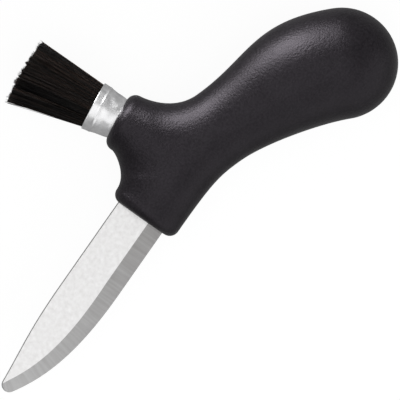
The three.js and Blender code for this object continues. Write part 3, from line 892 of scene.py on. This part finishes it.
    # One of the shapes on each root
    choice = new_node(tree, "FunctionNodeRandomValue", {
        4: 0, 5: hair_shapes - 1, "Seed": sizes["Seed"],
    }, data_type="INT")
    hairs = new_node(tree, "GeometryNodeInstanceOnPoints", {
        "Points": tinted.outputs[0], "Instance": shapes.outputs[0], "Pick Instance": True,
        "Instance Index": choice.outputs[2], "Rotation": turn.outputs[0], "Scale": scale,
    })
    smooth = new_node(tree, "GeometryNodeSetShadeSmooth", {
        0: new_node(tree, "GeometryNodeRealizeInstances", {0: hairs.outputs[0]}).outputs[0],
    })
    painted = new_node(tree, "GeometryNodeSetMaterial", {0: smooth.outputs[0], "Material": finish})
    new_node(tree, "NodeGroupOutput", {0: painted.outputs[0]})
    return tree


def bristle_hair():
    """Near-black hair with a brown cast, each hair a little different, with a soft gloss."""
    material, tree, shader, place = new_material("natural_bristle")
    tint = new_node(tree, "ShaderNodeAttribute", attribute_name="hair_tint").outputs["Fac"]
    paler = maths(tree, "POWER", tint, 3)  # leaves few pale hairs
    colour = between(tree, paler, (0.002, 0.0016, 0.0015), (0.065, 0.04, 0.03))
    rough = patches(tree, place, 600, 0.38, 0.55)
    feed(tree, shader, {"Base Color": colour, "Roughness": rough, "Specular IOR Level": 0.17})
    return material


def quarter_slice(quarter):
    """The face of one quarter of the setting, in the brush's frame."""
    height = setting_face - bristle_root
    turns = np.linspace(quarter, quarter + 1, slice_points) * math.pi / 2
    rim_points = [(tuft_radius * math.cos(turn), -tuft_radius * math.sin(turn), height) for turn in turns]
    mesh = bpy.data.meshes.new("slice")
    corners = [(0, 0, height)] + rim_points
    mesh.from_pydata(corners, [], [(0, i + 1, i) for i in range(1, len(rim_points))])
    return mesh


tuft = tuft_tree(bristle_hair())
tuft_inputs = [item for item in tuft.interface.items_tree if item.in_out == "INPUT"]
socket_names = {item.name: item.identifier for item in tuft_inputs}
for quarter in range(4):
    bundle = bpy.data.objects.new(f"hair_bundle_{quarter + 1}", quarter_slice(quarter))
    planting = bundle.modifiers.new("bristle_tuft", "NODES")
    planting.node_group = tuft
    for name, size in bristle_sizes.items():
        planting[socket_names[name]] = size
    planting[socket_names["Seed"]] = quarter + 1
    bpy.context.scene.collection.objects.link(bundle)
    grown = bundle.evaluated_get(bpy.context.evaluated_depsgraph_get())
    hairs = bpy.data.meshes.new_from_object(grown)
    hairs.transform(brush_place)
    bundle.modifiers.clear()
    bundle.data = hairs
    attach(bundle, "root")
    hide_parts(f"bristle_bundle_{quarter + 1}")

# Floor
# A wide pale sheet under the knife. The camera sees it nearly white, mirror-like surfaces see a share of
# that, and it still takes a faint shadow.

floor_half = 3.0
mirror_share = 0.18
sheet_grey = (0.5, 0.5, 0.5, 1)
shadow_grey = (0.12, 0.12, 0.12, 1)
plain_white = (1, 1, 1, 1)
sheet_glow = 0.94
floor_mesh = bpy.data.meshes.new("floor")
floor_mesh.from_pydata(
    [(-floor_half, -floor_half, 0), (floor_half, -floor_half, 0),
     (floor_half, floor_half, 0), (-floor_half, floor_half, 0)], [], [(0, 1, 2, 3)],
)
floor = bpy.data.objects.new("floor", floor_mesh)
bpy.context.scene.collection.objects.link(floor)


def seen_directly(tree):
    """1 for rays from the camera or through glass, less for mirror-like surfaces, 0 for other light."""
    path = new_node(tree, "ShaderNodeLightPath").outputs
    mirrored = maths(tree, "MULTIPLY", path["Is Glossy Ray"], mirror_share)
    shown_or_mirrored = maths(tree, "MAXIMUM", path["Is Camera Ray"], mirrored)
    return maths(tree, "MAXIMUM", shown_or_mirrored, path["Is Transmission Ray"])


sheet = bpy.data.materials.new("pale_sheet")
sheet.use_nodes = True
sheet_tree = sheet.node_tree
sheet_tree.nodes.clear()
matt = new_node(sheet_tree, "ShaderNodeBsdfDiffuse", {"Color": sheet_grey})
faint = new_node(sheet_tree, "ShaderNodeBsdfDiffuse", {"Color": shadow_grey})
glow = new_node(sheet_tree, "ShaderNodeEmission", {"Color": plain_white, "Strength": sheet_glow})
white = new_node(sheet_tree, "ShaderNodeAddShader", {0: faint.outputs[0], 1: glow.outputs[0]})
shown = new_node(sheet_tree, "ShaderNodeMixShader", {
    0: seen_directly(sheet_tree), 1: matt.outputs[0], 2: white.outputs[0],
})
new_node(sheet_tree, "ShaderNodeOutputMaterial", {"Surface": shown.outputs[0]})
floor_mesh.materials.append(sheet)

# Light
# A plain soft studio: an even pale surround, a broad soft lamp overhead, a long low one close by on the
# handle's upper side and a weak wide fill from the side across.

knife_middle = Vector((0, 0, blade_middle.z))
image_turn = 55  # degrees that the photograph turns the blade's axis
image_right = Vector((*heading(-image_turn), 0))
image_up = Vector((*heading(90 - image_turn), 0))

studio_level = 0.22
backdrop_level = 1
surround = bpy.data.worlds.new("studio")
surround.use_nodes = True
surround_tree = surround.node_tree
surround_tree.nodes.clear()
studio_light = new_node(surround_tree, "ShaderNodeBackground", {
    "Color": plain_white, "Strength": studio_level,
})
backdrop = new_node(surround_tree, "ShaderNodeBackground", {
    "Color": plain_white, "Strength": backdrop_level,
})
surround_mix = new_node(surround_tree, "ShaderNodeMixShader", {
    0: seen_directly(surround_tree), 1: studio_light.outputs[0], 2: backdrop.outputs[0],
})
new_node(surround_tree, "ShaderNodeOutputWorld", {"Surface": surround_mix.outputs[0]})
bpy.context.scene.world = surround


def soft_lamp(name, side, elevation, distance, width, depth, brightness, shift=0):
    """A flat soft lamp on a side of the picture, in degrees from its right, shifted along its width."""
    lamp = bpy.data.lights.new(name, "AREA")
    lamp.shape = "RECTANGLE"
    lamp.size = width
    lamp.size_y = depth
    lamp.energy = brightness * math.pi * width * depth
    holder = bpy.data.objects.new(name, lamp)
    across, along = heading(side) * math.cos(math.radians(elevation))
    aim = image_right * across + image_up * along + Vector((0, 0, math.sin(math.radians(elevation))))
    sideways = Vector(aim).cross((0, 0, 1)).normalized()
    holder.location = knife_middle + aim * distance + sideways * shift
    holder.rotation_euler = aim.to_track_quat("Z", "Y").to_euler()
    bpy.context.scene.collection.objects.link(holder)
    return holder


soft_lamp(
    "overhead_lamp", side=245, elevation=74, distance=1.5, width=1.4, depth=1.7, brightness=0.83,
)
long_lamp = soft_lamp(
    "long_lamp", side=80, elevation=31, distance=0.215, width=0.235, depth=0.115, brightness=12.4,
    shift=-0.1225,
)
soft_lamp(
    "fill_lamp", side=322, elevation=26, distance=1.3, width=3.4, depth=1.25, brightness=0.78,
)

# The long lamp is flagged off the blade, which would mirror it to the other sides as plain white,
# and off the floor, which would throw it back at the knife from below
flagged = bpy.data.collections.new("flagged_from_long_lamp")
for piece in (blade, floor):
    flagged.objects.link(piece)
for member in flagged.collection_objects:
    member.light_linking.link_state = "EXCLUDE"
long_lamp.light_linking.receiver_collection = flagged

# Camera
# Straight above the knife with a long lens, turned so that the blade points to the lower left.

photo_width = 130.4 * mm  # seen at the plane of the blade
camera_height = 1.2
photo_shift = Vector((15.86 * mm, -12.1 * mm, 0))  # blade face to the middle of the picture
photo_middle = Vector(nose_face) + photo_shift
camera = bpy.data.cameras.new("camera")
camera.lens = camera.sensor_width * camera_height / photo_width
camera_holder = bpy.data.objects.new("camera", camera)
towards_camera = Vector((0, 0, 1))
turned_camera = Matrix((image_right, image_up, towards_camera)).transposed().to_4x4()
raised = Matrix.Translation(photo_middle + towards_camera * camera_height)
camera_holder.matrix_world = raised @ turned_camera
bpy.context.scene.collection.objects.link(camera_holder)
bpy.context.scene.camera = camera_holder
bpy.context.scene.view_settings.view_transform = "Standard"
